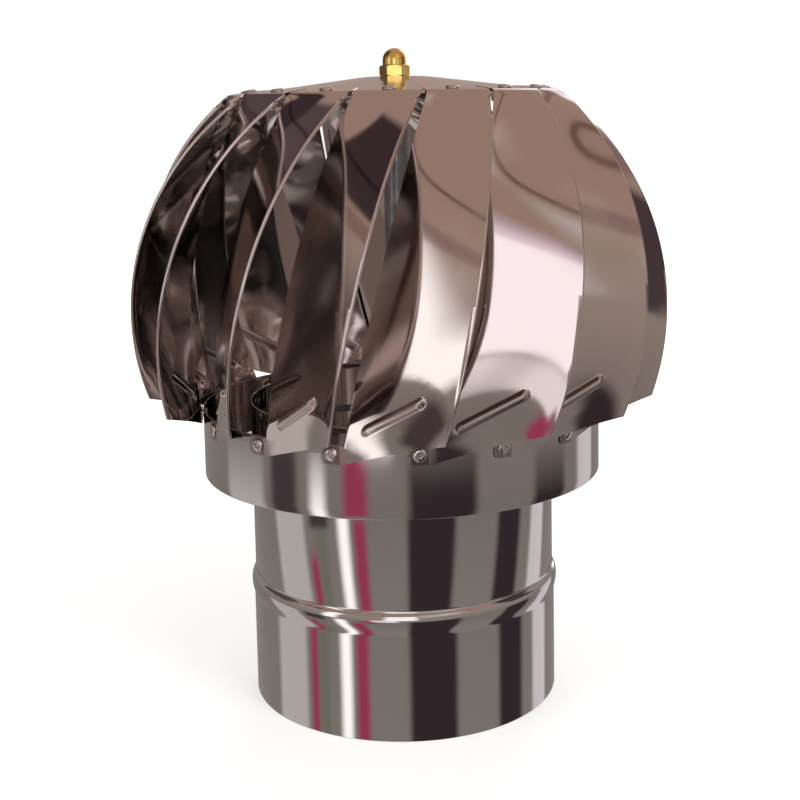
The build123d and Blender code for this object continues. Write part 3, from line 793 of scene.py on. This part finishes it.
# six flats: what stands past a flat is drawn in to it
for vert in nut_bm.verts:
    reach = vert.co.xy.length
    if reach > flat_radius and vert.co.z < hexagon_top:
        face_turn = degrees(atan2(vert.co.y, vert.co.x)) % 60 - 30
        limit = flat_radius / cos(radians(face_turn))
        if reach > limit:
            vert.co.x *= limit / reach
            vert.co.y *= limit / reach

tarnish_size = 3 * mm
ring_spacing = 1.5 * mm
ring_depth = 0.01 * mm
brass, tree = new_material("turned_brass_polished")
place = add_node(tree, "ShaderNodeTexCoord").outputs["Object"]
tarnish = add_node(tree, "ShaderNodeTexNoise", {"Scale": 1 / tarnish_size, "Detail": 4.0}, Vector=place)
tone = banded(tree, tarnish.outputs[0], [(0.35, "#FBDD8A"), (0.7, "#EBC462")])
rings = add_node(tree, "ShaderNodeTexWave", {"Scale": 1 / ring_spacing, "bands_direction": "Z",
                                             "Distortion": 0.4}, Vector=place)
turned_rings = add_node(tree, "ShaderNodeBump", {"Strength": 0.5, "Distance": ring_depth},
                        Height=rings.outputs[0])
shine = add_node(tree, "ShaderNodeBsdfPrincipled", {"Metallic": 1.0, "Roughness": 0.16},
                 Base_Color=tone.outputs[0], Normal=turned_rings.outputs[0])
add_node(tree, "ShaderNodeOutputMaterial", Surface=shine.outputs[0])
finished("brass_dome_nut", nut_bm, brass, "rotor", "polished_brass", "dome_nut")


# ---- inner works ----

# Cross bars and bearing housing are welded mild steel, zinc plated; the shaft stack is bright
# plated too. The bearings are ground chrome steel with nylon cages, and the circlips are blacked.
def workshop_metal(name, light, dark_tone, roughness, grain):
    """Plated or ground steel: a mottled tone and fine turning or rolling marks."""
    spangle_size = 6 * mm
    mark_depth = 0.02 * mm
    material, tree = new_material(name)
    place = add_node(tree, "ShaderNodeTexCoord").outputs["Object"]
    spangle = add_node(tree, "ShaderNodeTexNoise", {"Scale": 1 / spangle_size, "Detail": 5.0},
                       Vector=place)
    tone = banded(tree, spangle.outputs[0], [(0.35, light), (0.7, dark_tone)])
    marks = add_node(tree, "ShaderNodeTexNoise", {"Scale": 1 / grain, "Detail": 2.0}, Vector=place)
    rough = add_node(tree, "ShaderNodeMapRange",
                     {"To Min": roughness * 0.8, "To Max": roughness * 1.3}, Value=spangle.outputs[0])
    bump = add_node(tree, "ShaderNodeBump", {"Strength": 0.6, "Distance": mark_depth},
                    Height=marks.outputs[0])
    metal = add_node(tree, "ShaderNodeBsdfPrincipled", {"Metallic": 1.0}, Base_Color=tone.outputs[0],
                     Roughness=rough.outputs[0], Normal=bump.outputs[0])
    add_node(tree, "ShaderNodeOutputMaterial", Surface=metal.outputs[0])
    return material


zinc = workshop_metal("zinc_plated_steel", "#B9BCC2", "#8F9299", 0.28, 0.8 * mm)
bar_zinc = workshop_metal("zinc_plated_flat_bar", "#A9ABB0", "#83868C", 0.34, 1.2 * mm)
ground = workshop_metal("ground_bearing_steel", "#C4C3C2", "#A5A4A4", 0.16, 0.5 * mm)
blacked = workshop_metal("blacked_spring_steel", "#3A3A3D", "#26262A", 0.4, 0.6 * mm)
cloud_size = 2 * mm
nylon, tree = new_material("moulded_nylon")
place = add_node(tree, "ShaderNodeTexCoord").outputs["Object"]
clouds = add_node(tree, "ShaderNodeTexNoise", {"Scale": 1 / cloud_size, "Detail": 3.0}, Vector=place)
tone = banded(tree, clouds.outputs[0], [(0.3, "#DDD6C4"), (0.7, "#CFC7B2")])
plastic = add_node(tree, "ShaderNodeBsdfPrincipled", {"Roughness": 0.5}, Base_Color=tone.outputs[0])
add_node(tree, "ShaderNodeOutputMaterial", Surface=plastic.outputs[0])

finish_of = {
    bar_zinc: ("lower_cross_bar", "upper_cross_bar", "bearing_housing"),
    zinc: ("shaft", "race_spacer", "shaft_sleeve", "tail_washer", "tail_nut", "clamp_washer"),
    ground: ("lower_outer_race", "upper_outer_race", "lower_inner_race", "upper_inner_race",
             "lower_balls", "upper_balls", "bearing_shields"),
    blacked: ("lower_circlip", "upper_circlip"),
    nylon: ("lower_ball_cage", "upper_ball_cage"),
    rivet_steel: ("bar_rivets",),
}
for material, names in finish_of.items():
    for name in names:
        for material_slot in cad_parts[name].material_slots:
            material_slot.material = material
